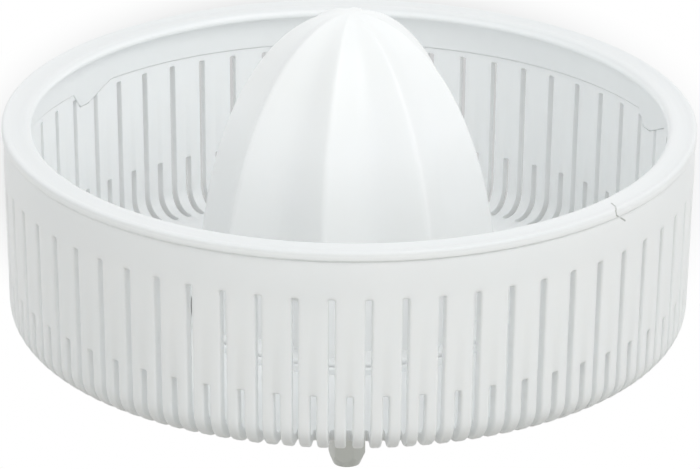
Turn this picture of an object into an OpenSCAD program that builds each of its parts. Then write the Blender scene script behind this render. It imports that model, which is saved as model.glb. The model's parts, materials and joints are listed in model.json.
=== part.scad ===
// Citrus press insert for a food processor: a slotted sieve basket with a snap-in
// rim collar, an eight-ridged reamer cone and a hexagonal drive shaft, with a small
// planetary reduction gear on the basket's floor under the cone.
// Origin: on the axis, at the upper end of the straight pilot land that enters the
// bowl's mouth. +Z points up along the axis. All sizes are in millimetres.

/* [Rim collar] */
// Outer diameter of the rim
rim_d = 170; // [164:0.5:190]
// Thickness of the rim flange
rim_t = 2.3; // [1.8:0.1:3.5]
// Width of the rim flange
rim_w = 7.4; // [6.5:0.1:12]
// Width of the slope on the rim's inner edge
rim_slope_w = 1.2; // [0.4:0.1:2]
// Height of the rounded beads on top of the rim
bead_h = 0.3; // [0.1:0.05:0.6]
// Thickness of the collar's skirt
skirt_t = 1.45; // [1:0.05:2.4]
// Height of the collar's skirt below the rim
skirt_h = 8.7; // [6.5:0.1:9.4]
// Number of snap lugs
lug_count = 3; // [2:1:6]
// Angle of the first snap lug
lug_angle = 22.5; // [0:0.5:90]
// How far the snap lugs reach below the skirt
lug_h = 4; // [2:0.1:6]
// How far a lug's faces lie inside the skirt's faces
lug_inset = 0.1; // [0.05:0.05:0.3]
// Length of a snap lug along the skirt
lug_w = 15; // [10:0.5:24]

/* [Sieve basket] */
// How far the rim stands out past the basket's straight land
rim_lip = 0.5; // [0.3:0.05:1.5]
// Radius of the shoulder under the rim
shoulder_r = 1.4; // [0.8:0.1:1.5]
// Length of the straight land
land_h = 6.8; // [5:0.1:7.4]
// Depth of the basket below the land's upper end
basket_h = 49.8; // [46:0.2:60]
// Wall thickness of the basket
wall_t = 2.8; // [2.4:0.1:3.4]
// Thickness of the wall left outside the skirt
mouth_web = 1.6; // [1.6:0.05:1.8]
// Floor thickness of the basket
floor_t = 3; // [2.6:0.1:4]
// Narrowing of the wall per millimetre of depth
wall_draft = 0.032; // [0:0.002:0.06]
// Outer radius of the bottom corner
corner_r = 8; // [6:0.5:12]
// Height of the raised ring on the floor around the cone's foot
guard_h = 1.6; // [0.8:0.1:3]
// Thickness of the raised ring
guard_t = 1.2; // [0.8:0.1:2]

/* [Sieve slots] */
// Number of long slots; as many short slots lie between them
slot_count = 60; // [30:1:64]
// Angle of the first long slot
slot_angle = -86.6; // [-90:0.2:90]
// Width of a slot
slot_w = 1.5; // [1:0.1:2.4]
// Depth of the long slots' upper ends
long_slot_z = 8.8; // [8.6:0.1:16]
// Depth of the short slots' upper ends
short_slot_z = 33.9; // [20:0.5:38]
// How far the slots run in across the floor from the foot of the wall
slot_reach = 10.2; // [8.5:0.1:16]

/* [Reamer cone] */
// Number of ridges
ridge_count = 8; // [6:1:10]
// Angle of the first ridge
ridge_angle = 34.5; // [0:0.5:60]
// Diameter over the ridges at the widest place
cone_d = 74.6; // [73:0.2:84]
// Height of the cone's widest place above the basket's floor
cone_waist = 5.5; // [4:0.5:8]
// Height of the cone above its widest place
cone_h = 73.4; // [68:0.2:84]
// Depth of the flutes as a share of the local radius
flute = 0.17; // [0.1:0.01:0.175]
// Shell thickness at the bottom of a flute
cone_t = 2; // [1.4:0.1:2.4]
// Thickness of the solid crown at the cone's tip
crown_t = 10; // [8:0.5:14]
// How far the cone's foot ring stands out past the ridges
foot_lip = 1.2; // [0.5:0.1:5]
// Height of the cone's foot ring
foot_h = 2; // [1:0.1:3]
// Gap between the cone's foot and the floor
foot_gap = 0.5; // [0.3:0.1:3]
// Outer diameter of the drive socket in the cone
socket_d = 20; // [18:0.5:22]
// Thickness of the ribs in the cone
rib_t = 1.6; // [1:0.1:3]
// Height of the ribs' lower edge above the socket's mouth
rib_lift = 2; // [1:0.5:6]
// Number of ribs in the cone
rib_count = 4; // [3:1:8]

/* [Gears] */
// Teeth of the sun gear
sun_teeth = 12; // [12:6:12]
// Teeth of a planet gear
planet_teeth = 12; // [12:6:12]
// Number of planet gears
planet_count = 3; // [3:1:3]
// Pressure angle of the teeth
pressure = 25; // [24:0.5:26]
// Face width of the gears
gear_w = 8; // [6:0.2:9]
// Play along the circumference between two teeth
backlash = 0.12; // [0.06:0.02:0.2]
// Wall of the ring gear behind its teeth
ring_wall = 2.2; // [1.6:0.1:2.4]

/* [Gear carrier] */
// Thickness of the lower carrier plate
carrier_t = 2; // [1.5:0.1:3]
// Diameter of the planet pins
pin_d = 4; // [3:0.1:5]
// Diameter of the pillars between the planets
pillar_d = 6; // [4:0.2:7]
// Thickness of the output hub's plate
hub_plate_t = 2.5; // [2:0.1:4]
// Diameter of the output journal
hub_d = 16; // [15.6:0.1:17]
// Width across flats of the output hexagon
hub_hex = 12; // [10:0.2:13]
// Length of the output hexagon
hub_hex_h = 19; // [12:0.5:26]

/* [Gear housing] */
// Thickness of the housing's base plate
base_t = 2.5; // [2:0.1:4]
// Wall thickness of the housing
house_t = 2.2; // [1.6:0.1:2.4]
// Thickness of the gear cover
cover_t = 2.5; // [2:0.1:4]
// Height of the boss on the gear cover
cover_boss_h = 5.9; // [5:0.1:8]
// Diameter of the boss on the gear cover
cover_boss_d = 25; // [23:0.5:28]
// Angle of the first screw ear
ear_angle = 60; // [0:5:115]
// Diameter of the screw ears
ear_d = 6.4; // [6.2:0.1:6.8]
// How far the screw holes reach into the housing's wall
ear_sink = 0.4; // [0:0.1:0.6]

/* [Drive shaft] */
// Width across flats of the drive hexagon
drive_hex = 8; // [6:0.1:8.4]
// Angle of a corner of the drive hexagon
drive_turn = -8; // [-30:1:30]
// Distance from the basket's underside to the shaft's tip
drive_reach = 37.7; // [30:0.1:60]
// Length of the taper at the shaft's tip
tip_taper = 3; // [1:0.2:5]
// Diameter of the shaft's end face
tip_d = 6.7; // [5:0.1:7.5]
// Diameter of the shaft's journal
journal_d = 10; // [9.8:0.1:11]
// Diameter of the shaft's thrust collar
collar_d = 14; // [12.6:0.2:14.2]
// Width across flats of the hexagon in the sun gear
sun_hex = 6; // [5.4:0.1:6.4]
// Diameter of the shaft's upper pilot
pilot_d = 5; // [3:0.1:5.2]
// Length of the shaft's upper pilot
pilot_h = 8.5; // [4:0.5:9.5]
// Thickness of the thrust washer
washer_t = 0.5; // [0.3:0.1:1]
// Thickness of the retaining clip
clip_t = 0.8; // [0.6:0.1:1.2]
// Width of the retaining clip's band
clip_band = 3; // [2:0.1:4]
// Width of the retaining clip's mouth
clip_mouth = 7; // [5:0.2:8]
// Depth of the clip's groove
clip_groove = 0.6; // [0.3:0.05:0.8]

/* [Bushes and seals] */
// Wall thickness of the bushes
bush_t = 2; // [1.2:0.1:2.4]
// Length of the basket's lower hub
hub_drop = 12.8; // [10:0.2:20]
// Wall of the basket's lower hub around the seal
lower_hub_wall = 2.2; // [1.6:0.1:4]
// Height of the shaft seal
seal_h = 4; // [2.5:0.1:5]
// Wall of the shaft seal
seal_t = 3; // [2.4:0.1:4]
// Height of the output seal
top_seal_h = 2.8; // [1.6:0.1:3.4]

/* [Screws] */
// Diameter of the screws
screw_d = 3; // [2.5:0.1:3.4]
// Length of the screws under the head
screw_l = 9.5; // [7:0.1:10]
// Diameter of the screw heads
screw_head_d = 5.5; // [4.8:0.1:5.8]
// Height of the screw heads
screw_head_h = 1.6; // [1.2:0.1:2]
// Length of the cross recess
recess_l = 3; // [2:0.1:4]
// Width of the cross recess
recess_t = 0.8; // [0.5:0.1:1.2]
// Depth of the cross recess
recess_h = 1; // [0.5:0.1:1]

/* [Clearances] */
// Radial gap of a running fit
run_gap = 0.05; // [0.02:0.01:0.09]
// Radial gap of parts pushed together
push_gap = 0.03; // [0.02:0.01:0.08]
// Gap around the lugs and in the cone's socket
free_gap = 0.15; // [0.1:0.01:0.3]
// Axial gap beside the turning parts
side_gap = 0.3; // [0.2:0.05:0.5]
// Radial gap between the cone's foot and the raised ring
guard_gap = 0.5; // [0.3:0.05:1]
// Least gap between the gear unit's ears and the cone's shell at its widest place
unit_gap = 1.2; // [1:0.1:3]

/* [Hidden] */
$fn = 96;
cut = 1;            // how far a cutter runs past the face it opens
arc_steps = 6;      // straight pieces in a quarter round of an outline

// Rim, mouth and wall
rim_r = rim_d / 2;
rim_in_r = rim_r - rim_w;
mouth_r = rim_r - rim_lip;
seat_z = shoulder_r;
rebate_r = mouth_r - mouth_web;
skirt_r = rebate_r - push_gap;
skirt_z = seat_z - skirt_h;
bottom_z = -basket_h;
floor_z = bottom_z + floor_t;
corner_z = bottom_z + corner_r;
inner_corner_r = corner_r - wall_t;
foot_wall_r = wall_r(corner_z);
slot_end_r = foot_wall_r - slot_reach;

// The lug's lower end, from its middle, as shares of its length
lug_tip_from = 0.1;
lug_tip_to = 0.32;

// Gear train; its module is what the room under the cone allows, in steps of 0.01
ring_teeth = sun_teeth + 2 * planet_teeth;
tip_share = 0.8;
root_share = 1;
ear_reach = screw_d / 2 - ear_sink + ear_d / 2;
unit_r = cone_d / 2 * (1 - flute) - cone_t - unit_gap;
ring_room_r = unit_r - ear_reach - house_t - push_gap - ring_wall;
gear_m = floor(100 * ring_room_r / (ring_teeth / 2 + root_share)) / 100;
tooth_tip = tip_share * gear_m;
tooth_root = root_share * gear_m;
sun_r = gear_m * sun_teeth / 2;
planet_r = gear_m * planet_teeth / 2;
ring_r = gear_m * ring_teeth / 2;
orbit_r = sun_r + planet_r;
ring_out_r = ring_r + tooth_root + ring_wall;
house_r = ring_out_r + push_gap + house_t;
carrier_r = ring_r - tooth_tip - side_gap * 2;
ear_r = house_r + screw_d / 2 - ear_sink;
ear_count = 3;

// Heights of the gear unit, upwards from the basket's floor
base_z = floor_z + base_t;
collar_z = base_z + washer_t;
carrier_z = base_z + washer_t + side_gap;
gears_z = carrier_z + carrier_t + side_gap;
gears_top_z = gears_z + gear_w;
plate_z = gears_top_z + side_gap;
plate_top_z = plate_z + hub_plate_t;
cover_z = plate_top_z + side_gap;
cover_top_z = cover_z + cover_t;
boss_top_z = cover_top_z + cover_boss_h;
hub_shoulder_z = boss_top_z + side_gap;

// Lower hub and shaft
journal_r = journal_d / 2;
bush_r = journal_r + run_gap + bush_t;
seal_r = journal_r + push_gap + seal_t;
lower_hub_r = max(seal_r, bush_r) + push_gap + lower_hub_wall;
lower_hub_z = bottom_z - hub_drop;
seal_z = lower_hub_z + seal_h;
clip_top_z = lower_hub_z - side_gap;
journal_z = clip_top_z - 2 * clip_t;
tip_z = bottom_z - drive_reach;
top_bush_r = hub_d / 2 + run_gap + bush_t;
top_seal_z = boss_top_z - top_seal_h;

// Cone
waist_z = floor_z + cone_waist;
foot_z = floor_z + foot_gap;
cone_r = cone_d / 2;
foot_r = cone_r + foot_lip;
guard_r = foot_r + guard_gap;
hollow_top_z = waist_z + cone_h - crown_t;
cone_levels = 18;   // rings of points up the cone, under its apex
last_level = 0.995; // height of the last ring as a share of the cone's height
ridge_steps = 6;    // points from one ridge to the next

function wall_r(z) = mouth_r - wall_draft * max(0, -land_h - z);
function arc(x, y, r, from, to) = [for (i = [0:arc_steps])
    let (a = from + (to - from) * i / arc_steps) [x + r * cos(a), y + r * sin(a)]];

// Profile of the ridges: a quarter ellipse above the waist, straight below it
function ridge_r(z) = cone_r * sqrt(max(0, 1 - pow(max(0, z - waist_z) / cone_h, 2)));
// Share of the ridge radius that is left at an angle from a ridge
function flute_share(a) = 1 - flute * abs(sin(a * ridge_count / 2));

module at_angles(count, first = 0) {
    for (i = [0:count - 1]) rotate([0, 0, first + 360 * i / count]) children();
}
module hexagon(flats, h) { cylinder(d = flats / cos(30), h = h, $fn = 6); }
module tube(r, bore_r, z, h) {
    translate([0, 0, z]) difference() {
        cylinder(r = r, h = h);
        translate([0, 0, -cut]) cylinder(r = bore_r, h = h + 2 * cut);
    }
}

// ---- Rim collar and basket ----

module lug_outline(gap) {
    // A lug hangs from the skirt: a long ramp on one side and a steep one on the other
    polygon([[-lug_w / 2 - gap, skirt_z + cut], [-lug_w / 2 - gap, skirt_z],
        [lug_w * lug_tip_from, skirt_z - lug_h - gap], [lug_w * lug_tip_to, skirt_z - lug_h - gap],
        [lug_w / 2 + gap, skirt_z], [lug_w / 2 + gap, skirt_z + cut]]);
}

module lugs(gap, inner_r, outer_r) {
    intersection() {
        tube(outer_r, inner_r, skirt_z - lug_h - cut, lug_h + 2 * cut);
        at_angles(lug_count, lug_angle)
            rotate([90, 0, 90]) linear_extrude(height = rim_r) lug_outline(gap);
    }
}

module rim_profile() {
    edge_r = bead_h * 2;
    top_z = seat_z + rim_t;
    slope_r = rim_in_r + rim_slope_w;
    slope_end = 160;    // degrees at which the slope leaves its upper rounding
    polygon(concat(
        [[skirt_r - skirt_t, skirt_z], [skirt_r, skirt_z], [skirt_r, seat_z],
            [rim_r - edge_r, seat_z]],
        arc(rim_r - edge_r, seat_z + edge_r, edge_r, -90, 0),
        arc(rim_r - edge_r, top_z - edge_r, edge_r, 0, 90),
        [[rim_r - edge_r * 3, top_z - bead_h], [slope_r + edge_r * 3, top_z - bead_h]],
        arc(slope_r + edge_r, top_z - edge_r, edge_r, 90, slope_end),
        arc(rim_in_r + edge_r, seat_z + edge_r, edge_r, 180, 270),
        [[skirt_r - skirt_t, seat_z]]));
}

module rim_collar() {
    color("white") {
        rotate_extrude($fn = 180) rim_profile();
        lugs(0, skirt_r - skirt_t + lug_inset, skirt_r - lug_inset);
    }
}

// Half section of the basket: the outside with its round corner and shoulder, less the inside
module basket_profile() {
    corner_x = foot_wall_r - corner_r;
    shoulder_x = mouth_r - shoulder_r;
    rebate_z = skirt_z - push_gap;
    inner_z = floor_z + inner_corner_r;
    difference() {
        union() {
            polygon([[0, bottom_z], [corner_x, bottom_z], [corner_x, corner_z],
                [foot_wall_r, corner_z], [mouth_r, -land_h], [mouth_r, 0], [shoulder_x, 0],
                [shoulder_x, seat_z], [0, seat_z]]);
            translate([corner_x, corner_z]) circle(r = corner_r);
            translate([shoulder_x, 0]) circle(r = shoulder_r);
        }
        polygon([[-cut, floor_z], [corner_x, floor_z], [corner_x, inner_z],
            [foot_wall_r - wall_t, inner_z], [wall_r(rebate_z) - wall_t, rebate_z],
            [rebate_r, rebate_z], [rebate_r, seat_z + cut], [-cut, seat_z + cut]]);
        translate([corner_x, inner_z]) circle(r = inner_corner_r);
    }
}

// Cutter for one slot, from its square upper end down through the corner and the floor's edge
module slot(top_z) {
    low = bottom_z - cut;
    near = slot_end_r + slot_w / 2;
    translate([near, -slot_w / 2, low]) cube([rim_r - near, slot_w, top_z - low]);
    translate([near, 0, low]) cylinder(d = slot_w, h = floor_t + 2 * cut, $fn = 24);
}

module sieve_basket() {
    color("white") difference() {
        union() {
            rotate_extrude($fn = 180) basket_profile();
            translate([0, 0, lower_hub_z]) cylinder(r = lower_hub_r, h = hub_drop + floor_t / 2);
            tube(guard_r + guard_t, guard_r, floor_z - floor_t / 2, guard_h + floor_t / 2);
        }
        at_angles(slot_count, slot_angle) slot(-long_slot_z);
        at_angles(slot_count, slot_angle + 180 / slot_count) slot(-short_slot_z);
        lugs(free_gap, skirt_r - skirt_t - wall_t, rebate_r);
        translate([0, 0, lower_hub_z - cut]) cylinder(r = seal_r + push_gap, h = seal_h + cut);
        translate([0, 0, lower_hub_z]) cylinder(r = bush_r + push_gap, h = floor_z - lower_hub_z + cut);
        at_angles(ear_count, ear_angle) translate([ear_r, 0, bottom_z - cut]) {
            cylinder(d = screw_d + 2 * free_gap, h = floor_t + 2 * cut);
            cylinder(d = screw_head_d + 2 * free_gap, h = screw_head_h + cut);
        }
    }
}

// ---- Reamer cone ----

// The fluted outside: rings of points that follow the ridge profile
module fluted_body() {
    around = ridge_count * ridge_steps;
    levels = [for (i = [0:cone_levels]) foot_z + (waist_z - foot_z) * min(1, i)
        + cone_h * last_level * sin(90 * max(0, i - 1) / (cone_levels - 1))];
    rings = [for (z = levels) for (k = [0:around - 1])
        let (a = 360 * k / around, r = ridge_r(z) * flute_share(a)) [r * cos(a), r * sin(a), z]];
    sides = [for (i = [0:cone_levels - 1]) for (k = [0:around - 1])
        let (n = (k + 1) % around, low = i * around, high = low + around)
            [low + k, high + k, high + n, low + n]];
    floor_face = [for (k = [0:around - 1]) k];
    last = cone_levels * around;
    tip = [for (k = [0:around - 1]) [last + k, last + around, last + (k + 1) % around]];
    rotate([0, 0, ridge_angle]) polyhedron(
        concat(rings, [[0, 0, waist_z + cone_h]]), concat(sides, tip, [floor_face]));
}

// The revolved shape that lies inset under the flutes, from low to high
module flute_revolve(inset, low, high) {
    steps = 10;
    heights = [for (i = [0:steps]) waist_z + (high - waist_z) * i / steps];
    rotate_extrude() polygon(concat(
        [[0, low], [cone_r * (1 - flute) - inset, low]],
        [for (z = heights) [ridge_r(z) * (1 - flute) - inset, z]],
        [[0, high]]));
}

// The drive socket's wall and the ribs that tie it to the shell
module cone_core() {
    top = hollow_top_z + cut;
    translate([0, 0, hub_shoulder_z]) cylinder(d = socket_d, h = top - hub_shoulder_z);
    intersection() {
        at_angles(rib_count, ridge_angle)
            translate([0, -rib_t / 2, hub_shoulder_z + rib_lift])
                cube([cone_r, rib_t, top - hub_shoulder_z - rib_lift]);
        flute_revolve(cone_t / 2, floor_z, top);
    }
}

module reamer_cone() {
    color("white") difference() {
        union() {
            difference() {
                union() {
                    fluted_body();
                    translate([0, 0, foot_z]) cylinder(r = foot_r, h = foot_h);
                }
                flute_revolve(cone_t, foot_z - cut, hollow_top_z);
            }
            cone_core();
        }
        translate([0, 0, hub_shoulder_z - cut])
            hexagon(hub_hex + 2 * free_gap, hub_hex_h + side_gap + cut);
    }
}

// ---- Gears ----

function inv(a) = tan(a) * 180 / PI - a;

// Half of a tooth's angle at radius r, for a gear of z teeth widened by gap at the pitch circle
function half_tooth(r, z, gap) =
    let (pitch = gear_m * z / 2, base = pitch * cos(pressure))
        90 / z + gap / pitch * 90 / PI + inv(pressure) - inv(acos(min(1, base / max(r, base))));

// Outline of a gear of z teeth, first tooth at angle 0, between root and tip radius
module teeth(z, root, tip, gap) {
    steps = 5;
    radii = [for (i = [0:steps]) root + (tip - root) * i / steps];
    polygon([for (k = [0:z - 1]) for (i = [0:2 * steps + 1])
        let (up = i <= steps, r = radii[up ? i : 2 * steps + 1 - i],
            a = 360 * k / z + (up ? -1 : 1) * half_tooth(r, z, gap))
                [r * cos(a), r * sin(a)]]);
}

module sun_gear() {
    color("ivory") translate([0, 0, gears_z]) difference() {
        linear_extrude(height = gear_w)
            teeth(sun_teeth, sun_r - tooth_root, sun_r + tooth_tip, -backlash / 2);
        translate([0, 0, -cut]) hexagon(sun_hex + 2 * push_gap, gear_w + 2 * cut);
    }
}

module planet_gear(i) {
    turn = 360 * i / planet_count;
    half_pitch = 180 / planet_teeth;
    color("ivory") rotate([0, 0, turn]) translate([orbit_r, 0, gears_z]) difference() {
        linear_extrude(height = gear_w) rotate(180 + half_pitch)
            teeth(planet_teeth, planet_r - tooth_root, planet_r + tooth_tip, -backlash / 2);
        translate([0, 0, -cut]) cylinder(d = pin_d + 2 * run_gap, h = gear_w + 2 * cut);
    }
}
module planet_gear_1() { planet_gear(0); }
module planet_gear_2() { planet_gear(1); }
module planet_gear_3() { planet_gear(2); }

module ring_gear() {
    color("ivory") translate([0, 0, gears_z]) difference() {
        cylinder(r = ring_out_r, h = gear_w);
        translate([0, 0, -cut]) linear_extrude(height = gear_w + 2 * cut)
            rotate(180 / ring_teeth)
                teeth(ring_teeth, ring_r - tooth_tip, ring_r + tooth_root, backlash / 2);
    }
}

module planet_carrier() {
    color("dimgray") difference() {
        union() {
            tube(carrier_r, collar_d / 2 + side_gap, carrier_z, carrier_t);
            at_angles(planet_count, 180 / planet_count) translate([orbit_r, 0, carrier_z])
                cylinder(d = pillar_d, h = plate_z - carrier_z);
        }
        at_angles(planet_count) translate([orbit_r, 0, carrier_z - cut])
            cylinder(d = pin_d + 2 * push_gap, h = carrier_t + 2 * cut);
    }
}

module planet_pins() {
    color("silver") at_angles(planet_count) translate([orbit_r, 0, carrier_z])
        cylinder(d = pin_d, h = plate_top_z - carrier_z);
}

module output_hub() {
    color("lightgray") difference() {
        union() {
            translate([0, 0, plate_z]) cylinder(r = carrier_r, h = hub_plate_t);
            translate([0, 0, plate_top_z]) cylinder(d = hub_d, h = hub_shoulder_z - plate_top_z);
            translate([0, 0, hub_shoulder_z]) hexagon(hub_hex, hub_hex_h);
        }
        at_angles(planet_count) translate([orbit_r, 0, plate_z - cut])
            cylinder(d = pin_d + 2 * push_gap, h = hub_plate_t + 2 * cut);
        translate([0, 0, plate_z - cut])
            cylinder(d = pilot_d + 2 * run_gap, h = cut + pilot_h + side_gap);
    }
}

// ---- Housing ----

// A round plate with the screw ears around it
module eared_plate(z, h) {
    translate([0, 0, z]) linear_extrude(height = h) {
        circle(r = house_r);
        at_angles(ear_count, ear_angle) translate([ear_r, 0]) circle(d = ear_d);
    }
}

module gear_housing() {
    color("gainsboro") difference() {
        eared_plate(floor_z, cover_z - floor_z);
        translate([0, 0, base_z]) cylinder(r = carrier_r + side_gap, h = gears_z - base_z + cut);
        translate([0, 0, gears_z]) cylinder(r = ring_out_r + push_gap, h = cover_z - gears_z + cut);
        translate([0, 0, floor_z - cut]) cylinder(r = journal_r + side_gap, h = base_t + 2 * cut);
        at_angles(ear_count, ear_angle) translate([ear_r, 0, floor_z - cut])
            cylinder(d = screw_d + 2 * push_gap, h = cover_z - floor_z + 2 * cut);
    }
}

module gear_cover() {
    color("gainsboro") difference() {
        union() {
            eared_plate(cover_z, cover_t);
            translate([0, 0, cover_z]) cylinder(d = cover_boss_d, h = cover_t + cover_boss_h);
            tube(ring_out_r, carrier_r + side_gap, gears_top_z, cover_z - gears_top_z + cover_t / 2);
        }
        translate([0, 0, cover_z - cut])
            cylinder(r = top_bush_r + push_gap, h = cover_t + cover_boss_h + 2 * cut);
        at_angles(ear_count, ear_angle) translate([ear_r, 0, cover_z - cut])
            cylinder(d = screw_d + 2 * free_gap, h = cover_t + 2 * cut);
    }
}

module screw() {
    difference() {
        union() {
            cylinder(d = screw_head_d, h = screw_head_h);
            translate([0, 0, -screw_l]) cylinder(d = screw_d, h = screw_l + screw_head_h / 2);
        }
        for (turn = [0, 90]) rotate([0, 0, turn])
            translate([-recess_l / 2, -recess_t / 2, screw_head_h - recess_h])
                cube([recess_l, recess_t, recess_h + cut]);
    }
}

module base_screws() {
    color("silver") at_angles(ear_count, ear_angle)
        translate([ear_r, 0, bottom_z + screw_head_h]) mirror([0, 0, 1]) screw();
}

module cover_screws() {
    color("silver") at_angles(ear_count, ear_angle) translate([ear_r, 0, cover_top_z]) screw();
}

// ---- Shaft, bushes and seals ----

module drive_shaft() {
    taper_r = drive_hex / 2 / cos(30);
    color("lightgray") difference() {
        union() {
            intersection() {
                translate([0, 0, tip_z]) rotate(drive_turn) hexagon(drive_hex, journal_z - tip_z);
                translate([0, 0, tip_z]) {
                    cylinder(r1 = tip_d / 2, r2 = taper_r, h = tip_taper);
                    translate([0, 0, tip_taper]) cylinder(r = taper_r + 1, h = journal_z - tip_z);
                }
            }
            translate([0, 0, journal_z]) cylinder(r = journal_r, h = gears_z - journal_z);
            translate([0, 0, collar_z]) cylinder(d = collar_d, h = gears_z - collar_z);
            translate([0, 0, gears_z]) hexagon(sun_hex, gear_w);
            translate([0, 0, gears_top_z]) cylinder(d = pilot_d, h = side_gap + pilot_h);
        }
        tube(journal_r + cut, journal_r - clip_groove, clip_top_z - clip_t, clip_t);
    }
}

module retaining_clip() {
    clip_z = clip_top_z - clip_t;
    in_r = journal_r - clip_groove + push_gap;
    color("silver") translate([0, 0, side_gap / 4]) difference() {
        tube(in_r + clip_band, in_r, clip_z, clip_t - side_gap / 2);
        translate([0, -clip_mouth / 2, clip_z - cut])
            cube([in_r + clip_band + cut, clip_mouth, clip_t + 2 * cut]);
    }
}

module thrust_washer() {
    color("ivory") tube(collar_d / 2 + side_gap, journal_r + run_gap, base_z, washer_t);
}

module input_bush() {
    color("tan") tube(bush_r, journal_r + run_gap, seal_z, floor_z - seal_z);
}

module output_bush() {
    color("tan") tube(top_bush_r, hub_d / 2 + run_gap, cover_z, top_seal_z - cover_z);
}

module shaft_seal() {
    color("black") tube(seal_r, journal_r + push_gap, lower_hub_z, seal_h);
}

module output_seal() {
    color("black") tube(top_bush_r, hub_d / 2 + push_gap, top_seal_z, top_seal_h);
}

sieve_basket();
rim_collar();
reamer_cone();
drive_shaft();
sun_gear();
planet_gear_1();
planet_gear_2();
planet_gear_3();
planet_carrier();
planet_pins();
output_hub();
ring_gear();
gear_housing();
gear_cover();
base_screws();
cover_screws();
input_bush();
output_bush();
shaft_seal();
output_seal();
thrust_washer();
retaining_clip();
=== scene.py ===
import math

import bmesh
import bpy
from mathutils import Matrix, Vector
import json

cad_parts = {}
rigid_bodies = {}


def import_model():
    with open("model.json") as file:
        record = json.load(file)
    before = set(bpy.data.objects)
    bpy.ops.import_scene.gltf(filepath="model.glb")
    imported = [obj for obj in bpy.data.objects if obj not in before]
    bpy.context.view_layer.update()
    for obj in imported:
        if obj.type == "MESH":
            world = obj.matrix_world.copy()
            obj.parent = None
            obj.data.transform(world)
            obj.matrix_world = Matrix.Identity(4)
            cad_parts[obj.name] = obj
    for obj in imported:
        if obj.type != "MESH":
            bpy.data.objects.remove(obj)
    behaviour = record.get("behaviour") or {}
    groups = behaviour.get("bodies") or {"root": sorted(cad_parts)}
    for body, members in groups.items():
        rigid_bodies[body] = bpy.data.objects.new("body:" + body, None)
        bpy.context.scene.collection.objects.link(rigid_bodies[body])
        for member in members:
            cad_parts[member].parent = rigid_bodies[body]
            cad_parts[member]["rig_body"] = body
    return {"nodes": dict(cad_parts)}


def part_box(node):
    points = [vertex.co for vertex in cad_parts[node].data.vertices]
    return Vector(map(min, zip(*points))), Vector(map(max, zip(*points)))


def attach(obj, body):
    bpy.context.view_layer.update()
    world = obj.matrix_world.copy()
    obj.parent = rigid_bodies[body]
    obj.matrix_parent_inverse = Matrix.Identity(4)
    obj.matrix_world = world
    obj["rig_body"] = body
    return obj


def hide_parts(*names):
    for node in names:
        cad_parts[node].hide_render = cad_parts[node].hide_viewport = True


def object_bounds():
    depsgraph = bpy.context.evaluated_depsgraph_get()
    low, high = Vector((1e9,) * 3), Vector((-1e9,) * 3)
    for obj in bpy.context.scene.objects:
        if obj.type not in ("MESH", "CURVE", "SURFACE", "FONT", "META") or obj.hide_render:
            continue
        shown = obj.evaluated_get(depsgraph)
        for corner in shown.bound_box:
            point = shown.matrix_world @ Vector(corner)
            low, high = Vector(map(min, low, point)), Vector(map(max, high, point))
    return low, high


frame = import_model()
cadLow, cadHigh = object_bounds()

mm = 0.001
fullTurn = 2 * math.pi
zAxis = Vector((0, 0, 1))
print("frame loaded:", len(frame["nodes"]), "nodes")


# Materials

class Value:
    # a node's output, which can be used in sums

    def __init__(self, finish, socket):
        self.finish = finish
        self.socket = socket

    def math(self, operation, first, second):
        return self.finish.node("ShaderNodeMath", {"operation": operation}, {0: first, 1: second})

    def __add__(self, other):
        return self.math("ADD", self, other)

    def __radd__(self, other):
        return self.math("ADD", other, self)

    def __sub__(self, other):
        return self.math("SUBTRACT", self, other)

    def __rsub__(self, other):
        return self.math("SUBTRACT", other, self)

    def __mul__(self, other):
        return self.math("MULTIPLY", self, other)

    def __rmul__(self, other):
        return self.math("MULTIPLY", other, self)


class Finish:
    # one material, or the world, and the way its nodes are made

    def __init__(self, name, world=None):
        self.material = world or bpy.data.materials.new(name)
        self.material.use_nodes = True
        self.tree = self.material.node_tree
        self.tree.nodes.clear()

    def node(self, kind, settings, inputs, output=0):
        made = self.tree.nodes.new(kind)
        for key, value in settings.items():
            setattr(made, key, value)
        for key, value in inputs.items():
            if isinstance(value, Value):
                self.tree.links.new(value.socket, made.inputs[key])
            else:
                made.inputs[key].default_value = value
        return Value(self, made.outputs[output]) if made.outputs else None

    def place(self):
        return self.node("ShaderNodeTexCoord", {}, {}, "Object")

    def seen(self):
        # 1 for what is seen, straight or in gloss and glass, and 0 for light that bounces on
        rays = ("Is Camera Ray", "Is Glossy Ray", "Is Transmission Ray")
        camera, glossy, through = [self.node("ShaderNodeLightPath", {}, {}, ray) for ray in rays]
        return self.node("ShaderNodeClamp", {}, {"Value": camera + glossy + through})

    def noise(self, scale, detail, stretch=(1, 1, 1)):
        spot = self.node("ShaderNodeMapping", {}, {"Vector": self.place(), "Scale": stretch})
        return self.node("ShaderNodeTexNoise", {},
                         {"Vector": spot, "Scale": scale, "Detail": detail})

    def between(self, share, low, high):
        # from one shade to the other over the range that noise mostly keeps to
        steep = self.node("ShaderNodeMapRange", {},
                          {"Value": share, "From Min": 0.3, "From Max": 0.7})
        return self.node("ShaderNodeMix", {"data_type": "RGBA"}, {0: steep, 6: low, 7: high}, 2)

    def bump(self, height, distance, before=None):
        # relief of a depth in metres, laid over the one before it
        inputs = {"Height": height, "Strength": 1.0, "Distance": distance}
        if before is not None:
            inputs["Normal"] = before
        return self.node("ShaderNodeBump", {}, inputs)

    def end(self, shader, output="ShaderNodeOutputMaterial"):
        self.node(output, {}, {"Surface": shader})
        return self.material


def tone(red, green, blue):
    # an sRGB colour of 0 to 255 as linear light
    return tuple(((v / 255 + 0.055) / 1.055) ** 2.4 for v in (red, green, blue)) + (1,)


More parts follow.
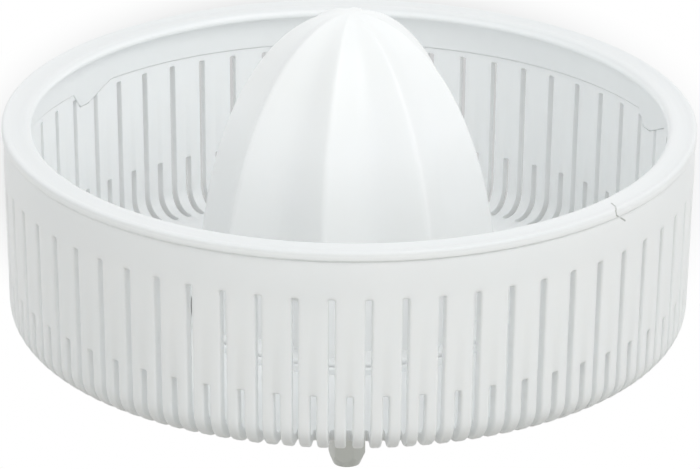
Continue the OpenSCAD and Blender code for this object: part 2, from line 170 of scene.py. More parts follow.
def hairline(finish, points, width):
    # 1 along a fine line through the points, in mm, and 0 beside it
    place = finish.place()
    nearest = 1.0
    for start, end in zip(points, points[1:]):
        start, end = Vector(start) * mm, Vector(end) * mm
        along = end - start
        offset = finish.node("ShaderNodeVectorMath", {"operation": "SUBTRACT"}, {
            0: place, 1: start}, "Vector")
        share = finish.node("ShaderNodeVectorMath", {"operation": "DOT_PRODUCT"}, {
            0: offset, 1: along / along.length_squared}, "Value")
        within = finish.node("ShaderNodeClamp", {}, {"Value": share})
        foot = finish.node("ShaderNodeVectorMath", {"operation": "SCALE"}, {
            0: along, "Scale": within}, "Vector")
        away = finish.node("ShaderNodeVectorMath", {"operation": "DISTANCE"}, {
            0: offset, 1: foot}, "Value")
        nearest = away.math("MINIMUM", away, nearest)
    return finish.node("ShaderNodeMapRange", {}, {
        "Value": nearest, "From Min": 0.0, "From Max": width * mm,
        "To Min": 1.0, "To Max": 0.0})


def mouldedPlastic(name, look):
    # moulded plastic: cloudy tint, uneven gloss, spark-eroded grain and a slow ripple
    finish = Finish(name)
    cloud = finish.noise(look["cloud"], 3)
    ripple = finish.noise(look["ripple"], 1)
    grain = finish.noise(look["grain"], 2)
    waves = finish.bump(ripple, look["rippleDepth"])
    skin = finish.bump(grain, look["grainDepth"], waves)
    colour = finish.between(cloud, look["dark"], look["light"])
    # painted shade: above a given height the colour is multiplied darker, which dims the rim's
    # top where light falls strongest
    if "paintedRimShade" in look:
        height = finish.node("ShaderNodeSeparateXYZ", {}, {0: finish.place()}, "Z")
        paintedShadeShare = finish.node("ShaderNodeMapRange", {}, {
            "Value": height, "From Min": look["paintedShadeFrom"] * mm, "From Max": look["paintedShadeTo"] * mm})
        colour = finish.node("ShaderNodeMix", {"data_type": "RGBA", "blend_type": "MULTIPLY"}, {
            0: paintedShadeShare, 6: colour, 7: look["paintedRimShade"]}, 2)
    if "crack" in look:
        line = hairline(finish, look["crack"], crack["width"])
        colour = finish.node("ShaderNodeMix", {"data_type": "RGBA"}, {
            0: line, 6: colour, 7: crack["shade"]}, 2)
    shader = finish.node("ShaderNodeBsdfPrincipled", {}, {
        "Base Color": colour,
        "Roughness": look["gloss"] + look["uneven"] * grain,
        "Normal": skin,
        "IOR": look["ior"],
        "Subsurface Weight": look["glow"],
        "Subsurface Radius": look["glowTint"],
        "Subsurface Scale": look["glowDepth"]})
    return finish.end(shader)


# cloud, ripple and grain are how fine each pattern is; depths are in metres
whitePlastic = {
    "light": tone(251, 252, 252), "dark": tone(248, 250, 250),
    "cloud": 22.0, "ripple": 60.0, "rippleDepth": 0.00002,
    "grain": 2600.0, "grainDepth": 0.000012, "gloss": 0.34, "uneven": 0.12, "ior": 1.49,
    "glow": 0.2, "glowTint": (1.0, 0.95, 0.9), "glowDepth": 0.0025}

# a hairline crack, in mm: over the top of the rim, down its edge and on into the basket
crack = {
    "rim": [(62.6, -51.8, 3.4), (63.4, -53.7, 3.4), (63.5, -55.6, 3.6), (63.5, -56.5, 3.3),
            (63.7, -56.3, 2.1), (64.3, -55.4, 1.3)],
    "basket": [(64.3, -55.4, 1.3), (64.9, -54.0, 0.5), (65.9, -52.9, -0.6)],
    "width": 0.32, "shade": tone(164, 165, 160)}

basketWhite = mouldedPlastic("basketWhite", {**whitePlastic, "crack": crack["basket"]})
# painted shade: between two heights, in mm, the rim turns a little greyer than the skirt below
# them, which tones down the light that falls strongest on its top
collarWhite = mouldedPlastic("collarWhite", {
    **whitePlastic, "glow": 0.1, "gloss": 0.3, "crack": crack["rim"],
    "paintedRimShade": (0.86, 0.86, 0.86, 1), "paintedShadeFrom": 2.6, "paintedShadeTo": 3.4})
coneWhite = mouldedPlastic("coneWhite", {
    **whitePlastic, "light": tone(246, 247, 247), "dark": tone(244, 245, 244), "glow": 0.1,
    "cloud": 34.0})
shaftGrey = mouldedPlastic("shaftGrey", {
    **whitePlastic, "light": tone(229, 230, 224), "dark": tone(221, 223, 218), "gloss": 0.3,
    "glow": 0.0})
housingGrey = mouldedPlastic("housingGrey", {
    **whitePlastic, "light": tone(206, 208, 206), "dark": tone(199, 201, 200), "glow": 0.0})
hubGrey = mouldedPlastic("hubGrey", {
    **whitePlastic, "light": tone(186, 188, 186), "dark": tone(178, 180, 179), "glow": 0.0})
carrierGrey = mouldedPlastic("carrierGrey", {
    **whitePlastic, "light": tone(104, 106, 108), "dark": tone(94, 96, 98), "glow": 0.0})
gearNatural = mouldedPlastic("gearNatural", {
    **whitePlastic, "light": tone(236, 230, 208), "dark": tone(229, 222, 198), "glow": 0.05})
sealBlack = mouldedPlastic("sealBlack", {
    **whitePlastic, "light": tone(46, 46, 47), "dark": tone(36, 36, 37), "gloss": 0.55,
    "uneven": 0.2, "grainDepth": 0.00003, "glow": 0.0})


def bareMetal(name, look):
    # metal whose fine relief also shades it and breaks its gloss
    finish = Finish(name)
    relief = finish.noise(look["relief"], look["reliefDetail"], look["stretch"])
    cloud = finish.noise(look["cloud"], 2)
    if look["reliefShade"]:
        cloud = cloud + look["reliefShade"] * relief - look["reliefShade"] / 2
    shader = finish.node("ShaderNodeBsdfPrincipled", {}, {
        "Base Color": finish.between(cloud, look["dark"], look["light"]),
        "Metallic": look["metal"],
        "Roughness": look["gloss"] + look["uneven"] * relief,
        "Normal": finish.bump(relief, look["reliefDepth"])})
    return finish.end(shader)


# sintered bronze with fine pores
bushTan = bareMetal("bushTan", {
    "light": tone(196, 166, 118), "dark": tone(150, 122, 82), "cloud": 300.0,
    "relief": 3800.0, "reliefDetail": 3, "stretch": (1, 1, 1), "reliefShade": 0.4,
    "reliefDepth": 0.00004, "metal": 0.8, "gloss": 0.42, "uneven": 0.2})
# plated steel with fine rings left by turning
steel = bareMetal("steel", {
    "light": tone(206, 208, 210), "dark": tone(186, 188, 190), "cloud": 160.0,
    "relief": 900.0, "reliefDetail": 2, "stretch": (0.15, 0.15, 4.0), "reliefShade": 0.0,
    "reliefDepth": 0.00001, "metal": 1.0, "gloss": 0.24, "uneven": 0.16})
print("materials made")


# Mesh tools; every piece is modelled in millimetres and turned to metres at the end

weld = 0.002  # points nearer than this become one
near = 0.01  # places closer than this count as the same


def cadBox(node):
    # a CAD node's lowest and highest corners, in mm
    low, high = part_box(node)
    return low / mm, high / mm


def polar(radius, degrees, height):
    angle = math.radians(degrees)
    return Vector((radius * math.cos(angle), radius * math.sin(angle), height))


def toMesh(bm, name):
    mesh = bpy.data.meshes.new(name)
    bm.to_mesh(mesh)
    bm.free()
    return mesh


def addToScene(name, data):
    added = bpy.data.objects.new(name, data)
    bpy.context.scene.collection.objects.link(added)
    return added


def only(kind, geom):
    # the vertices or the edges among what an operator returns
    return [g for g in geom if isinstance(g, kind)]


def turned(degrees):
    return Matrix.Rotation(math.radians(degrees), 3, "Z")


def roundOff(bm, geom, width, segments, affect="EDGES", clamp=False):
    bmesh.ops.bevel(bm, geom=geom, offset=width, offset_type="OFFSET", segments=segments,
                    profile=0.5, affect=affect, material=-1, clamp_overlap=clamp)


def lathe(target, profile, steps, closed=False, centre=(0, 0)):
    # spins a profile of (radius, height, rounding) points about an upright axis;
    # a rounding starts that far from its corner on either side
    bm = bmesh.new()
    corners = [bm.verts.new((centre[0] + r, centre[1], z)) for r, z, rounding in profile]
    for first, second in zip(corners, corners[1:] + corners[:1] if closed else corners[1:]):
        bm.edges.new((first, second))
    for corner, (r, z, rounding) in zip(corners, profile):
        if rounding:
            roundOff(bm, [corner], rounding, 4, affect="VERTICES")
    bmesh.ops.spin(bm, geom=bm.verts[:] + bm.edges[:], cent=(*centre, 0), axis=zAxis,
                   dvec=(0, 0, 0), angle=fullTurn, steps=steps, use_merge=True)
    part = toMesh(bm, "part")
    target.from_mesh(part)
    bpy.data.meshes.remove(part)


def finishPiece(name, bm, material, body, nodes, smooth=32):
    # merges what touches, turns the mesh to metres and hands it to the frame
    bmesh.ops.remove_doubles(bm, verts=bm.verts, dist=weld)
    bmesh.ops.dissolve_degenerate(bm, edges=bm.edges, dist=0.0005)
    bmesh.ops.recalc_face_normals(bm, faces=bm.faces)
    bmesh.ops.scale(bm, vec=(mm, mm, mm), verts=bm.verts)
    mesh = toMesh(bm, name)
    mesh.materials.append(material)
    mesh.shade_smooth()
    mesh.set_sharp_from_angle(angle=math.radians(smooth))
    piece = addToScene(name, mesh)
    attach(piece, body)
    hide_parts(*nodes)
    print(name, len(mesh.polygons), "faces")
    return piece


# Rim collar: a beaded flange with a skirt and three snap lugs

collar = {
    "innerRadius": 77.6, "skirtThickness": 1.45, "skirtGap": 0.03, "skirtHeight": 8.7,
    "flange": 2.3, "web": 1.6, "steps": 480, "footBand": 0.6,
    "outerBead": 1.1, "outerSlope": 2.0, "valley": 0.3, "innerSlope": 3.6, "innerBead": 2.3,
    "lipTop": 1.0, "lipDrop": 1.0, "lipFoot": 0.5,
    "lugs": 3, "lugAngle": 22.5, "lugWidth": 15.0, "lugDrop": 4.0,
    "lugTipFrom": 1.5, "lugTipTo": 4.8, "lugGap": 0.06, "notchReach": 4.8, "notchLift": 1.0}

basketBottom, basketTop = cadBox("sieve_basket")
collarTop = cadBox("rim_collar")[1]
coneBottom, coneTop = cadBox("reamer_cone")
mouthRadius = basketTop.x
rimRadius = collarTop.x
rimTop = collarTop.z
footRadius = coneTop.x
seat = rimTop - collar["flange"]
skirtEnd = seat - collar["skirtHeight"]
rebateRadius = mouthRadius - collar["web"]
skirtRadius = rebateRadius - collar["skirtGap"]


def lugDrop(offset, gap=0.0):
    # how far a lug hangs below the skirt at a distance along the skirt from its middle
    half = collar["lugWidth"] / 2 + gap
    deep = collar["lugDrop"] + gap
    if abs(offset) >= half:
        return 0.0
    if offset < collar["lugTipFrom"]:
        return deep * (offset + half) / (collar["lugTipFrom"] + half)
    if offset <= collar["lugTipTo"]:
        return deep
    return deep * (half - offset) / (half - collar["lugTipTo"])


def makeRimCollar():
    c = collar
    inner = c["innerRadius"]
    skirtInner = skirtRadius - c["skirtThickness"]
    valley = rimTop - c["valley"]
    profile = [
        (skirtInner, skirtEnd, 0.45), (skirtRadius, skirtEnd, 0.3), (skirtRadius, seat, 0),
        (rimRadius, seat, 0.3), (rimRadius, rimTop, 0.75),
        (rimRadius - c["outerBead"], rimTop, 0.3), (rimRadius - c["outerSlope"], valley, 0.5),
        (inner + c["innerSlope"], valley, 0.5), (inner + c["innerBead"], rimTop, 0.5),
        (inner + c["lipTop"], rimTop, 0.6), (inner, seat + c["lipDrop"], 0.7),
        (inner + c["lipFoot"], seat, 0.3), (skirtInner, seat, 0.5)]
    bm = bmesh.new()
    lathe(bm, profile, c["steps"], closed=True)
    # the lugs are drawn down from the lowest points of the skirt
    step = 360 / c["lugs"]
    for vert in bm.verts:
        if vert.co.z < skirtEnd + c["footBand"]:
            turn = math.degrees(math.atan2(vert.co.y, vert.co.x)) - c["lugAngle"]
            away = (turn + step / 2) % step - step / 2
            vert.co.z -= lugDrop(math.radians(away) * skirtRadius)
    return finishPiece("rimCollar", bm, collarWhite, "basket", ["rim_collar"])


# Sieve basket: one sector with a long and a short slot, turned round the axis

basket = {
    "slotPairs": 60, "firstSlot": -86.6, "slotWidth": 1.5, "slotCorner": 0.3, "slotReach": 10.2,
    "longTop": -8.8, "shortTop": -33.9, "shoulder": 0.9, "bandLow": -0.9, "bandSlope": 0.07,
    "landEnd": -6.8, "draft": 0.032, "wall": 2.8, "floor": 3.0, "corner": 8.0,
    "shoulderSteps": 4, "cornerSteps": 8, "slotBend": 0.7,
    "plainRadius": 66.0, "outerRound": 0.6, "innerRound": 0.12, "hubDrop": 12.8,
    "guardGap": 0.5, "guardWall": 1.2, "guardHeight": 1.6, "guardSteps": 180,
    "ears": 3, "earRadius": 24.53, "earAngle": 60.0, "boreRadius": 7.08, "sealRadius": 8.06,
    "sealHeight": 4.0, "hubRadius": 10.26, "hubFoot": 1.4, "hubSteps": 96,
    "screwHole": 1.65, "headHole": 2.9, "headDepth": 1.6, "screwSteps": 32}

hubEnd = basketBottom.z
floorUnder = hubEnd + basket["hubDrop"]


def wallRadius(height):
    # the outside of the wall, which leans in below its upright top band
    return mouthRadius - basket["draft"] * max(0.0, basket["landEnd"] - height)


def basketRows():
    # each row: outer point, inner point and the slot ends that lie on it
    b = basket
    floorTop = floorUnder + b["floor"]
    innerCorner = b["corner"] - b["wall"]
    cornerHeight = floorUnder + b["corner"]
    cornerRadius = wallRadius(cornerHeight) - b["corner"]
    rows = []
    bandTop = seat - b["shoulder"]
    bandRadius = mouthRadius - b["bandSlope"] * (bandTop - b["bandLow"])
    for i in range(b["shoulderSteps"] + 1):
        angle = math.radians(90 - 90 * i / b["shoulderSteps"])
        height = bandTop + b["shoulder"] * math.sin(angle)
        radius = bandRadius - b["shoulder"] * (1 - math.cos(angle))
        rows.append(((radius, height), (rebateRadius, height), ""))
    rows.append(((mouthRadius, b["bandLow"]), (rebateRadius, b["bandLow"]), ""))
    ledge = skirtEnd - collar["skirtGap"]
    rows.append(((mouthRadius, b["landEnd"]), (rebateRadius, ledge), ""))
    rows.append(((wallRadius(ledge), ledge), (wallRadius(ledge) - b["wall"], ledge), ""))
    for name in ("longTop", "shortTop"):
        height = b[name] - b["slotCorner"]
        radius = wallRadius(height)
        rows.append(((radius, height), (radius - b["wall"], height), name))
    for i in range(b["cornerSteps"] + 1):
        angle = math.radians(-90 * i / b["cornerSteps"])
        across, down = math.cos(angle), math.sin(angle)
        rows.append(((cornerRadius + b["corner"] * across, cornerHeight + b["corner"] * down),
                     (cornerRadius + innerCorner * across, floorTop + innerCorner * (1 + down)),
                     ""))
    slotEnd = wallRadius(cornerHeight) - b["slotReach"]
    for radius, name in ((slotEnd + b["slotWidth"] / 2, "slotEnd"), (b["plainRadius"], "")):
        rows.append(((radius, floorUnder), (radius, floorTop), name))
    return rows


def makeSector():
    # a grid of rows and columns is laid on the outside, opened for the slots and given a wall
    b = basket
    rows = basketRows()
    half = b["slotWidth"] / 2
    pitch = 180 / b["slotPairs"]
    corner = b["slotCorner"]
    square = half - corner
    bend = square + corner * b["slotBend"]
    offsets = [-half, -bend, -square, 0.0, square, bend, half]
    columns = [(-pitch / 2, 0.0, "")]
    columns += [(0.0, d, "longTop") for d in offsets] + [(pitch / 2, 0.0, "")]
    columns += [(pitch, d, "shortTop") for d in offsets] + [(pitch * 1.5, 0.0, "")]
    bm = bmesh.new()
    bmesh.ops.create_grid(bm, x_segments=len(columns) - 1, y_segments=len(rows) - 1, size=0.5)
    rowOf = bm.verts.layers.int.new("row")
    columnOf = bm.verts.layers.int.new("column")
    sideOf = bm.verts.layers.int.new("side")
    for vert in bm.verts:
        vert[rowOf] = round((0.5 - vert.co.y) * (len(rows) - 1))
        vert[columnOf] = round((vert.co.x + 0.5) * (len(columns) - 1))

    def place(vert, side):
        point, slotEnds = rows[vert[rowOf]][side], rows[vert[rowOf]][2]
        base, offset, slotName = columns[vert[columnOf]]
        radius, height = point
        if slotName and slotEnds == "slotEnd":
            radius -= math.sqrt(max(0.0, half ** 2 - offset ** 2))
        elif slotName and slotEnds == slotName:
            height += math.sqrt(max(0.0, corner ** 2 - max(0.0, abs(offset) - square) ** 2))
            radius = wallRadius(height) - side * b["wall"]
        vert[sideOf] = side
        vert.co = polar(radius, base + math.degrees(math.asin(offset / radius)), height)

    lastRow, lastColumn = len(rows) - 1, len(columns) - 1
    rowNamed = {name: i for i, (outer, inner, name) in enumerate(rows) if name}
    gone = []
    for face in bm.faces:
        names = {columns[v[columnOf]][2] for v in face.verts}
        top = rowNamed.get(names.pop(), lastRow) if len(names) == 1 else lastRow
        faceRows = [v[rowOf] for v in face.verts]
        if min(faceRows) >= top and max(faceRows) <= rowNamed["slotEnd"]:
            gone.append(face)
    bmesh.ops.delete(bm, geom=gone, context="FACES")
    for vert in bm.verts:
        place(vert, 0)
    made = bmesh.ops.extrude_face_region(bm, geom=bm.faces[:])["geom"]
    for vert in only(bmesh.types.BMVert, made):
        place(vert, 1)

    def onBorder(face):
        rowSet = {v[rowOf] for v in face.verts}
        columnSet = {v[columnOf] for v in face.verts}
        sides = {v[sideOf] for v in face.verts}
        return len(sides) == 2 and (rowSet == {lastRow} or columnSet in ({0}, {lastColumn}))

    bmesh.ops.delete(bm, geom=[f for f in bm.faces if onBorder(f)], context="FACES")

    def rim(side):
        # edges between a slot's walls and the outer or the inner face
        found = []
        for edge in bm.edges:
            sides = {v[sideOf] for v in edge.verts}
            walls = [f for f in edge.link_faces if len({v[sideOf] for v in f.verts}) == 2]
            if sides == {side} and len(walls) == 1 and len(edge.link_faces) == 2:
                if {v[rowOf] for v in edge.verts} != {0}:
                    found.append(edge)
        return found

    outerRim, innerRim = rim(0), rim(1)
    roundOff(bm, outerRim, b["outerRound"], 3)
    roundOff(bm, innerRim, b["innerRound"], 2)
    return bm


def makeSieveBasket():
    b = basket
    bm = makeSector()
    count = b["slotPairs"]
    bmesh.ops.spin(bm, geom=bm.verts[:] + bm.edges[:] + bm.faces[:], cent=(0, 0, 0), axis=zAxis,
                   dvec=(0, 0, 0), angle=fullTurn * (count - 1) / count, steps=count - 1,
                   use_duplicate=True)
    bmesh.ops.remove_doubles(bm, verts=bm.verts, dist=weld)
    bmesh.ops.rotate(bm, verts=bm.verts, cent=(0, 0, 0), matrix=turned(b["firstSlot"]))
    floorTop = floorUnder + b["floor"]
    sealTop = hubEnd + b["sealHeight"]
    lathe(bm, [(b["hubRadius"] + b["hubFoot"], floorUnder, 0), (b["hubRadius"], floorUnder, 0.8),
               (b["hubRadius"], hubEnd, 0.5), (b["sealRadius"], hubEnd, 0.3),
               (b["sealRadius"], sealTop, 0), (b["boreRadius"], sealTop, 0),
               (b["boreRadius"], floorTop, 0)], b["hubSteps"])
    guard = footRadius + b["guardGap"]
    guardOut = guard + b["guardWall"]
    guardTop = floorTop + b["guardHeight"]
    lathe(bm, [(guard, floorTop, 0), (guard, guardTop, 0.3), (guardOut, guardTop, 0.3),
               (guardOut, floorTop, 0)], b["guardSteps"])
    headTop = floorUnder + b["headDepth"]
    for i in range(b["ears"]):
        spot = polar(b["earRadius"], b["earAngle"] + 360 * i / b["ears"], 0)
        lathe(bm, [(b["headHole"], floorUnder, 0), (b["headHole"], headTop, 0),
                   (b["screwHole"], headTop, 0), (b["screwHole"], floorTop, 0)],
              b["screwSteps"], centre=(spot.x, spot.y))
    # the floor's two faces close what is open between the sectors, hub, guard and screw holes
    for height in (floorUnder, floorTop):
        loops = [e for e in bm.edges if e.is_boundary
                 and all(abs(v.co.z - height) < near for v in e.verts)]
        bmesh.ops.triangle_fill(bm, use_beauty=True, use_dissolve=False, edges=loops,
                                normal=zAxis)
    piece = finishPiece("sieveBasket", bm, basketWhite, "basket",
                        ["sieve_basket"], smooth=40)
    cutNotches(piece)
    return piece


def cutNotches(piece):
    # pockets in the basket's inner wall for the collar's lugs
    bm = bmesh.new()
    gap = collar["lugGap"]
    half = collar["lugWidth"] / 2 + gap
    inside = rebateRadius - collar["notchReach"]
    marks = [(-half, collar["notchLift"]), (-half, 0.0)]
    tips = (collar["lugTipFrom"], collar["lugTipTo"])
    marks += [(across, -lugDrop(across, gap)) for across in tips]
    marks += [(half, 0.0), (half, collar["notchLift"])]
    for i in range(collar["lugs"]):
        outline = bm.faces.new([bm.verts.new((inside, across, skirtEnd + down))
                                for across, down in marks])
        made = bmesh.ops.extrude_face_region(bm, geom=[outline])["geom"]
        moved = only(bmesh.types.BMVert, made)
        bmesh.ops.translate(bm, verts=moved, vec=(rebateRadius - inside, 0, 0))
        bmesh.ops.rotate(bm, verts=list({*outline.verts, *moved}), cent=(0, 0, 0),
                         matrix=turned(collar["lugAngle"] + 360 * i / collar["lugs"]))
    bmesh.ops.recalc_face_normals(bm, faces=bm.faces)
    bmesh.ops.scale(bm, vec=(mm, mm, mm), verts=bm.verts)
    cutter = addToScene("notches", toMesh(bm, "notches"))
    cut = piece.modifiers.new("notches", "BOOLEAN")
    cut.operation = "DIFFERENCE"
    cut.solver = "EXACT"
    cut.object = cutter
    graph = bpy.context.evaluated_depsgraph_get()
    finished = bpy.data.meshes.new_from_object(piece.evaluated_get(graph))
    piece.modifiers.clear()
    piece.data = finished
    finished.name = piece.name
    bpy.data.objects.remove(cutter)
    print("notches cut:", len(finished.polygons), "faces")


# Reamer cone: an eight-ridged body on a foot ring, hollow, with a drive socket

cone = {
    "ridgeRadius": 37.3, "height": 73.4,
    "ridges": 8, "ridgeAngle": 34.5, "flute": 0.17, "crest": 0.05, "steps": 256, "levels": 56,
    "footHeight": 2.0, "footInside": 0.5, "shell": 2.0, "shellSteps": 10, "crown": 10.0,
    "socketRadius": 10.0, "socketFlats": 12.3, "socketDepth": 19.3, "socketMouth": -21.4,
    "socketSteps": 72, "socketRound": 0.35,
    "ribs": 4, "ribThickness": 1.6, "ribLift": 2.0, "ribSteps": 8, "ribReach": 0.7, "sink": 0.5}

ridgeRadius = cone["ridgeRadius"]
coneHeight = cone["height"]
waist = coneTop.z - coneHeight


def ridgeAt(height):
    # the ridges follow a quarter of an ellipse
    share = max(0.0, height - waist) / coneHeight
    return ridgeRadius * math.sqrt(max(0.0, 1 - share * share))


def fluteShare(angle):
    # share of the ridge radius left at an angle; the crest is slightly rounded
    wave = math.sin(cone["ridges"] / 2 * (angle - math.radians(cone["ridgeAngle"])))
    crest = cone["crest"]
    return 1 - cone["flute"] * (math.hypot(wave, crest) - crest) / (math.hypot(1, crest) - crest)


def makeReamerCone():
    c = cone
    footTop = coneBottom.z + c["footHeight"]
    outside = [(footRadius, coneBottom.z, 0.5), (footRadius, footTop, 0.7),
               (ridgeRadius, footTop, 0), (ridgeRadius, waist, 0)]
    for i in range(1, c["levels"]):
        angle = math.radians(90 * i / c["levels"])
        outside.append((ridgeRadius * math.cos(angle), waist + coneHeight * math.sin(angle), 0))
    outside.append((0, waist + coneHeight, 0))
    hollowTop = waist + coneHeight - c["crown"]
    inside = []
    for i in range(c["shellSteps"] + 1):
        height = hollowTop + (waist - hollowTop) * i / c["shellSteps"]
        inside.append((ridgeAt(height) * (1 - c["flute"]) - c["shell"], height, 0))
    lowest = (ridgeRadius * (1 - c["flute"]) - c["shell"], coneBottom.z, 0.4)
    bm = bmesh.new()
    lathe(bm, outside, c["steps"])
    # the flutes are drawn in between the ridges
    for vert in bm.verts:
        radius = math.hypot(vert.co.x, vert.co.y)
        if radius < ridgeRadius + near and vert.co.z > footTop - near:
            share = fluteShare(math.atan2(vert.co.y, vert.co.x))
            vert.co.x *= share
            vert.co.y *= share
    lathe(bm, [(0, hollowTop, 0), *inside, lowest,
               (footRadius - c["footInside"], coneBottom.z, 0)], c["steps"])
    bmesh.ops.remove_doubles(bm, verts=bm.verts, dist=near)
    return finishPiece("reamerCone", bm, coneWhite, "cone", ["reamer_cone"],
                       smooth=50)


def makeConeSocket():
    # the hexagonal socket inside the cone and the ribs that tie it to the shell
    c = cone
    mouth = c["socketMouth"]
    top = waist + coneHeight - c["crown"]
    bm = bmesh.new()
    flats = c["socketFlats"] / 2 / math.cos(math.radians(30))
    outer = bmesh.ops.create_circle(bm, segments=c["socketSteps"],
                                    radius=c["socketRadius"])["verts"]
    inner = bmesh.ops.create_circle(bm, segments=6, radius=flats)["verts"]
    bmesh.ops.translate(bm, verts=outer + inner, vec=(0, 0, mouth))
    bmesh.ops.triangle_fill(bm, use_beauty=True, edges=bm.edges[:], normal=zAxis)
    outerEdges = [e for e in bm.edges if all(v in outer for v in e.verts) and e.is_boundary]
    innerEdges = [e for e in bm.edges if all(v in inner for v in e.verts) and e.is_boundary]
    wall = bmesh.ops.extrude_edge_only(bm, edges=outerEdges)["geom"]
    bmesh.ops.translate(bm, verts=only(bmesh.types.BMVert, wall),
                        vec=(0, 0, top - mouth + c["sink"]))
    bore = bmesh.ops.extrude_edge_only(bm, edges=innerEdges)["geom"]
    bmesh.ops.translate(bm, verts=only(bmesh.types.BMVert, bore), vec=(0, 0, c["socketDepth"]))
    bmesh.ops.contextual_create(bm, geom=only(bmesh.types.BMEdge, bore))
    bmesh.ops.contextual_create(bm, geom=only(bmesh.types.BMEdge, wall))
    rimEdges = [e for e in outerEdges + innerEdges if e.is_valid]
    roundOff(bm, rimEdges, c["socketRound"], 2, clamp=True)
    # each rib starts inside the socket's wall and ends inside the shell
    for i in range(c["ribs"]):
        low = mouth + c["ribLift"]
        root = c["socketRadius"] - c["sink"]
        marks = [(root, low), (root, top)]
        for k in range(c["ribSteps"] + 1):
            height = top + (low - top) * k / c["ribSteps"]
            reach = ridgeAt(height) * (1 - c["flute"]) - c["shell"] * c["ribReach"]
            marks.append((reach, height))
        rib = bm.faces.new([bm.verts.new((r, -c["ribThickness"] / 2, z)) for r, z in marks])
        made = bmesh.ops.extrude_face_region(bm, geom=[rib])["geom"]
        moved = only(bmesh.types.BMVert, made)
        bmesh.ops.translate(bm, verts=moved, vec=(0, c["ribThickness"], 0))
        bmesh.ops.rotate(bm, verts=list({*rib.verts, *moved}), cent=(0, 0, 0),
                         matrix=turned(c["ridgeAngle"] + 360 * i / c["ribs"]))
    return finishPiece("coneSocket", bm, coneWhite, "cone", ["reamer_cone"])


rimCollar = makeRimCollar()
sieveBasket = makeSieveBasket()
reamerCone = makeReamerCone()
coneSocket = makeConeSocket()


# Softened copies of the drive and gear parts

flatWithin = math.radians(1)
sharpFrom = math.radians(25)
softened = [
    # node, piece, material, slot, width of the rounded edges
    ("drive_shaft", "driveShaft", shaftGrey, "shaft_grey", 0.35),
    ("gear_housing", "gearHousing", housingGrey, "housing_grey", 0.3),
    ("gear_cover", "gearCover", housingGrey, "housing_grey", 0.3),
    ("output_hub", "outputHub", hubGrey, "hub_grey", 0.3),
    ("planet_carrier", "planetCarrier", carrierGrey, "carrier_grey", 0.2),
    ("planet_pins", "planetPins", steel, "steel", 0.2),
    ("sun_gear", "sunGear", gearNatural, "gear_natural", 0.12),
    ("planet_gear_1", "planetGear1", gearNatural, "gear_natural", 0.12),
    ("planet_gear_2", "planetGear2", gearNatural, "gear_natural", 0.12),
    ("planet_gear_3", "planetGear3", gearNatural, "gear_natural", 0.12),
    ("ring_gear", "ringGear", gearNatural, "gear_natural", 0.12),
    ("base_screws", "baseScrews", steel, "steel", 0.15),
    ("cover_screws", "coverScrews", steel, "steel", 0.15),
    ("input_bush", "inputBush", bushTan, "bush_tan", 0.2),
    ("output_bush", "outputBush", bushTan, "bush_tan", 0.2),
    ("shaft_seal", "shaftSeal", sealBlack, "seal_black", 0.3),
    ("output_seal", "outputSeal", sealBlack, "seal_black", 0.3),
    ("thrust_washer", "thrustWasher", gearNatural, "gear_natural", 0.1),
    ("retaining_clip", "retainingClip", steel, "steel", 0.12)]


def soften(node, name, material, slot, width):
    # a merged copy of a CAD node with its sharp edges rounded
    original = frame["nodes"][node]
    bm = bmesh.new()
    bm.from_mesh(original.data)
    bmesh.ops.scale(bm, vec=(1 / mm, 1 / mm, 1 / mm), verts=bm.verts)
    bmesh.ops.remove_doubles(bm, verts=bm.verts, dist=weld)
    bmesh.ops.dissolve_limit(bm, angle_limit=flatWithin, verts=bm.verts, edges=bm.edges)
    sharp = [e for e in bm.edges if len(e.link_faces) == 2 and e.calc_face_angle() > sharpFrom]
    roundOff(bm, sharp, width, 3, clamp=True)
    return finishPiece(name, bm, material, original["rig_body"], [node], smooth=40)


for row in softened:
    soften(*row)
print("gear unit finished")


# Floor, light and camera

studio = {
    "floorSize": 6.0, "floorTint": 0.25, "floorGlow": 0.35, "floorBounce": (0.13, 0.129, 0.12, 1),
    "shadowCentre": (0, 0.2, 0), "shadowSize": (0.1, 0.14, 1.0), "shadowEnd": 0.7,
    "whiteFrom": 1.15, "horizonLight": 1.17, "zenithLight": 0.78, "roomTint": tone(252, 254, 255)}

lamps = {
    # place, size, power; both are white
    "keyLamp": ((0.9, -0.9, 1.35), 1.0, 6.8),
    "floorLamp": ((0.1, -1.87, 0.62), 0.5, 168.0)}


def makeFloor():
    # a pale floor; light that bounces off it on to the object has a tint of its own
    bm = bmesh.new()
    bmesh.ops.create_grid(bm, x_segments=1, y_segments=1, size=studio["floorSize"] / 2)
    bmesh.ops.translate(bm, verts=bm.verts, vec=(0, 0, cadLow.z))
    mesh = toMesh(bm, "floor")
    finish = Finish("floorWhite")
    floorTint = (studio["floorTint"],) * 3 + (1,)
    shadowed = finish.node("ShaderNodeBsdfDiffuse", {}, {"Color": floorTint})
    glow = finish.node("ShaderNodeEmission", {}, {"Strength": studio["floorGlow"]})
    near = finish.node("ShaderNodeAddShader", {}, {0: shadowed, 1: glow})
    # the floor is shaded behind the object and turns white further out
    behind = finish.node("ShaderNodeVectorMath", {"operation": "SUBTRACT"}, {
        0: finish.place(), 1: studio["shadowCentre"]}, "Vector")
    spread = finish.node("ShaderNodeVectorMath", {"operation": "DIVIDE"}, {
        0: behind, 1: studio["shadowSize"]}, "Vector")
    away = finish.node("ShaderNodeVectorMath", {"operation": "LENGTH"}, {0: spread}, "Value")
    far = finish.node("ShaderNodeMapRange", {"interpolation_type": "SMOOTHSTEP"}, {
        "Value": away, "From Min": studio["shadowEnd"], "From Max": studio["whiteFrom"]})
    plainWhite = finish.node("ShaderNodeEmission", {}, {"Strength": 1.0})
    white = finish.node("ShaderNodeMixShader", {}, {0: far, 1: near, 2: plainWhite})
    bounce = finish.node("ShaderNodeBsdfDiffuse", {}, {"Color": studio["floorBounce"]})
    both = finish.node("ShaderNodeMixShader", {}, {0: finish.seen(), 1: bounce, 2: white})
    mesh.materials.append(finish.end(both))
    floor = addToScene("floor", mesh)
    return floor


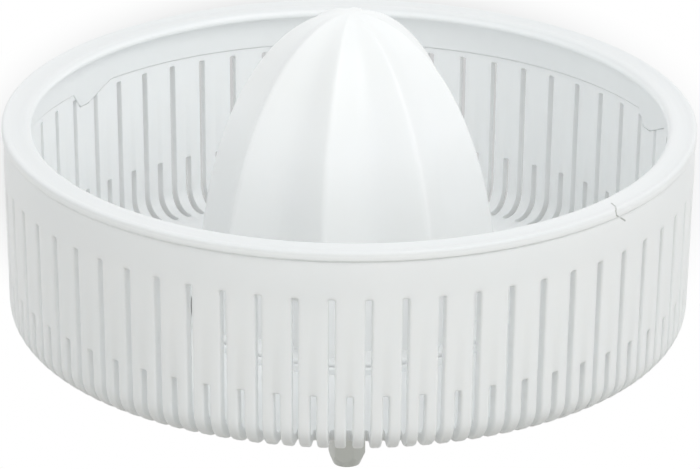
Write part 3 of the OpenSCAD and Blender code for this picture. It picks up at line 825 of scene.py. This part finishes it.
def makeWorld():
    # a white room, brighter round the horizon than overhead
    world = bpy.data.worlds.new("studio")
    bpy.context.scene.world = world
    room = Finish("studio", world)
    direction = room.node("ShaderNodeTexCoord", {}, {}, "Generated")
    height = room.node("ShaderNodeSeparateXYZ", {}, {0: direction}, "Z")
    strength = room.node("ShaderNodeMapRange", {}, {
        "Value": height, "To Min": studio["horizonLight"], "To Max": studio["zenithLight"]})
    lit = room.node("ShaderNodeBackground", {}, {
        "Color": studio["roomTint"], "Strength": strength})
    white = room.node("ShaderNodeBackground", {}, {"Color": (1, 1, 1, 1)})
    mixed = room.node("ShaderNodeMixShader", {}, {0: room.seen(), 1: lit, 2: white})
    room.end(mixed, "ShaderNodeOutputWorld")


def makeLamp(name, place, size, power):
    light = bpy.data.lights.new(name, "AREA")
    light.shape = "DISK"
    light.size = size
    light.energy = power
    lamp = addToScene(name, light)
    lamp.location = place
    lamp.rotation_euler = (-Vector(place)).to_track_quat("-Z", "Y").to_euler()
    return lamp


def lightOnly(lamp, receiver):
    # the lamp lights nothing but the receiver, on which the object throws its shadow
    lit = bpy.data.collections.new(lamp.name + "Lit")
    lit.objects.link(receiver)
    lamp.light_linking.receiver_collection = lit


# degrees, metres and pixels, measured from the middle of the rim's top
viewpoint = {
    "elevation": 21.42972, "distance": 1.89956, "tilt": 0.83985, "roll": 0.46409,
    "turn": 0.01161, "focalPixels": 7771.07924, "imageWidth": 700.0, "sensorWidth": 36.0,
    "farthest": 20.0}


def makeCamera():
    v = viewpoint
    elevation = math.radians(v["elevation"])
    look = math.radians(v["elevation"] + v["tilt"])
    turn, roll = math.radians(v["turn"]), math.radians(v["roll"])
    ahead = Vector((math.sin(turn) * math.cos(look), math.cos(turn) * math.cos(look),
                    -math.sin(look)))
    right = ahead.cross(zAxis).normalized()
    above = right.cross(ahead)
    across = right * math.cos(roll) + above * math.sin(roll)
    upward = above * math.cos(roll) - right * math.sin(roll)
    data = bpy.data.cameras.new("camera")
    data.sensor_width = v["sensorWidth"]
    data.lens = v["focalPixels"] * data.sensor_width / v["imageWidth"]
    data.clip_end = v["farthest"]
    camera = addToScene("camera", data)
    place = Matrix((across, upward, -ahead)).transposed().to_4x4()
    place.translation = Vector((0, -v["distance"] * math.cos(elevation),
                                v["distance"] * math.sin(elevation) + rimTop * mm))
    camera.matrix_world = place
    bpy.context.scene.camera = camera


floor = makeFloor()
makeWorld()
for name, (place, size, power) in lamps.items():
    lamp = makeLamp(name, place, size, power)
    if name == "floorLamp":
        lightOnly(lamp, floor)
makeCamera()
bpy.context.scene.view_settings.view_transform = "Standard"
print("studio set")
